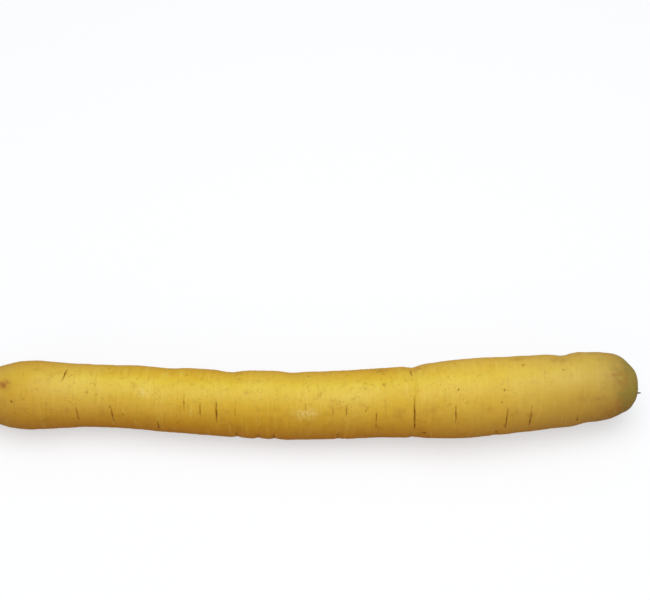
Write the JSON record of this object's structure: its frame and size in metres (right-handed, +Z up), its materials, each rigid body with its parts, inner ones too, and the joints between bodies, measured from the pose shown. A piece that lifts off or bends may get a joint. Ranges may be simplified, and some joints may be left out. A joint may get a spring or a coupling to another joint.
{
  "type": "carrot",
  "caption": "Long whole yellow carrot root, gently bowed and lying on its side, with a blunt tip, a green-tinged rounded crown and short dry leaf stalk stubs.",
  "frame": {"origin": "middle of the underside, in the plane of the table that the carrot lies on", "axes": "+X runs along the root from its tip to its crown, +Z is up from the table"},
  "size_m": [0.27, 0.0334, 0.0296],
  "materials": {
    "root_skin": "fresh waxy yellow root skin with fine cross wrinkles, brown slits and a green tinge at the crown",
    "dry_leaf_stalk": "dry fibrous grey-brown leaf stalk"
  },
  "bodies": {
    "root": {"root": "root_skin", "leaf_stalk_stub_1": "dry_leaf_stalk", "leaf_stalk_stub_2": "dry_leaf_stalk", "leaf_stalk_stub_3": "dry_leaf_stalk", "leaf_stalk_stub_4": "dry_leaf_stalk", "leaf_stalk_stub_5": "dry_leaf_stalk", "leaf_stalk_stub_6": "dry_leaf_stalk", "leaf_stalk_stub_7": "dry_leaf_stalk"}
  },
  "joints": []
}
